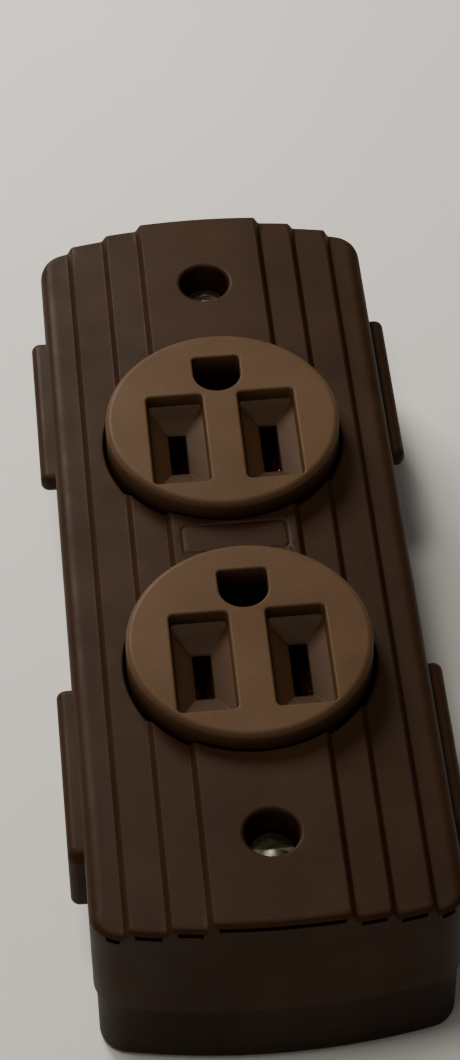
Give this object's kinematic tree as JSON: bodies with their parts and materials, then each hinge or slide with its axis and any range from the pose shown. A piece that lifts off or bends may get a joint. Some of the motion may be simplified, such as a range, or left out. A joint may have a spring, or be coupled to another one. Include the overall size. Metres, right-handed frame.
{
  "type": "surface-mounted duplex receptacle",
  "caption": "Brown surface-mounted duplex grounding receptacle: a stepped two-shell housing with round outlet faces, contact straps, terminal screws and a lift-off cover.",
  "frame": {"origin": "centre of the flat back face of the base", "axes": "+Z out through the outlet faces, +Y along the length towards the grounding holes' end, +X across the width"},
  "size_m": [0.0512, 0.1256, 0.033],
  "materials": {
    "housing_plastic": "semi-matte moulded brown thermoset plastic",
    "face_plastic": "semi-matte moulded brown plastic, a shade lighter",
    "body_phenolic": "dull black phenolic",
    "brass": "stamped spring brass",
    "nickel_brass": "nickel-plated stamped brass",
    "brass_screw": "brass-plated screw",
    "zinc_steel": "zinc-plated steel",
    "green_screw": "green-dyed zinc-plated screw",
    "fibre": "vulcanised fibre"
  },
  "bodies": {
    "base_assembly": {"base": "housing_plastic", "receptacle_face": "face_plastic", "receptacle_body": "body_phenolic", "hot_strap": "brass", "neutral_strap": "nickel_brass", "ground_strap": "zinc_steel", "ground_contact_far": "brass", "ground_contact_near": "brass", "ground_rivet_far": "brass", "ground_rivet_near": "brass", "body_rivet_left": "zinc_steel", "body_rivet_right": "zinc_steel", "threaded_insert_far": "brass", "threaded_insert_near": "brass"},
    "cover": {"cover": "housing_plastic"},
    "cover_screw_far_travel": {"captive_washer_far": "fibre"},
    "cover_screw_far": {"cover_screw_far": "zinc_steel"},
    "cover_screw_near_travel": {"captive_washer_near": "fibre"},
    "cover_screw_near": {"cover_screw_near": "zinc_steel"},
    "terminal_screw_hot_far": {"terminal_screw_hot_far": "brass_screw"},
    "terminal_screw_hot_near": {"terminal_screw_hot_near": "brass_screw"},
    "terminal_screw_neutral_far": {"terminal_screw_neutral_far": "zinc_steel"},
    "terminal_screw_neutral_near": {"terminal_screw_neutral_near": "zinc_steel"},
    "ground_screw": {"ground_screw": "green_screw"}
  },
  "joints": [
    {"name": "cover_lift", "type": "slide", "parent": "base_assembly", "child": "cover", "axis": [0, 0, 1], "range_m": [0, 0.03]},
    {"name": "cover_screw_far_travel_slide", "type": "slide", "parent": "cover", "child": "cover_screw_far_travel", "axis": [0, 0, 1], "range_m": [0, 0.009]},
    {"name": "cover_screw_far_turn", "type": "hinge", "parent": "cover_screw_far_travel", "child": "cover_screw_far", "pos_m": [0, 0.049, 0.0251], "axis": [0, 0, 1], "range_deg": [0, 4085]},
    {"name": "cover_screw_near_travel_slide", "type": "slide", "parent": "cover", "child": "cover_screw_near_travel", "axis": [0, 0, 1], "range_m": [0, 0.009]},
    {"name": "cover_screw_near_turn", "type": "hinge", "parent": "cover_screw_near_travel", "child": "cover_screw_near", "pos_m": [0, -0.049, 0.0251], "axis": [0, 0, 1], "range_deg": [0, 4085]},
    {"name": "terminal_screw_hot_far_back_out", "type": "slide", "parent": "base_assembly", "child": "terminal_screw_hot_far", "axis": [-1, 0, 0], "range_m": [0, 0.002]},
    {"name": "terminal_screw_hot_near_back_out", "type": "slide", "parent": "base_assembly", "child": "terminal_screw_hot_near", "axis": [-1, 0, 0], "range_m": [0, 0.002]},
    {"name": "terminal_screw_neutral_far_back_out", "type": "slide", "parent": "base_assembly", "child": "terminal_screw_neutral_far", "axis": [1, 0, 0], "range_m": [0, 0.002]},
    {"name": "terminal_screw_neutral_near_back_out", "type": "slide", "parent": "base_assembly", "child": "terminal_screw_neutral_near", "axis": [1, 0, 0], "range_m": [0, 0.002]},
    {"name": "ground_screw_back_out", "type": "slide", "parent": "base_assembly", "child": "ground_screw", "axis": [0, 0, 1], "range_m": [0, 0.002]}
  ],
  "couplings": [
    {"joint": "cover_screw_far_turn", "follows": "cover_screw_far_travel_slide", "rad_per_m": 7913.3},
    {"joint": "cover_screw_near_turn", "follows": "cover_screw_near_travel_slide", "rad_per_m": 7913.3}
  ]
}
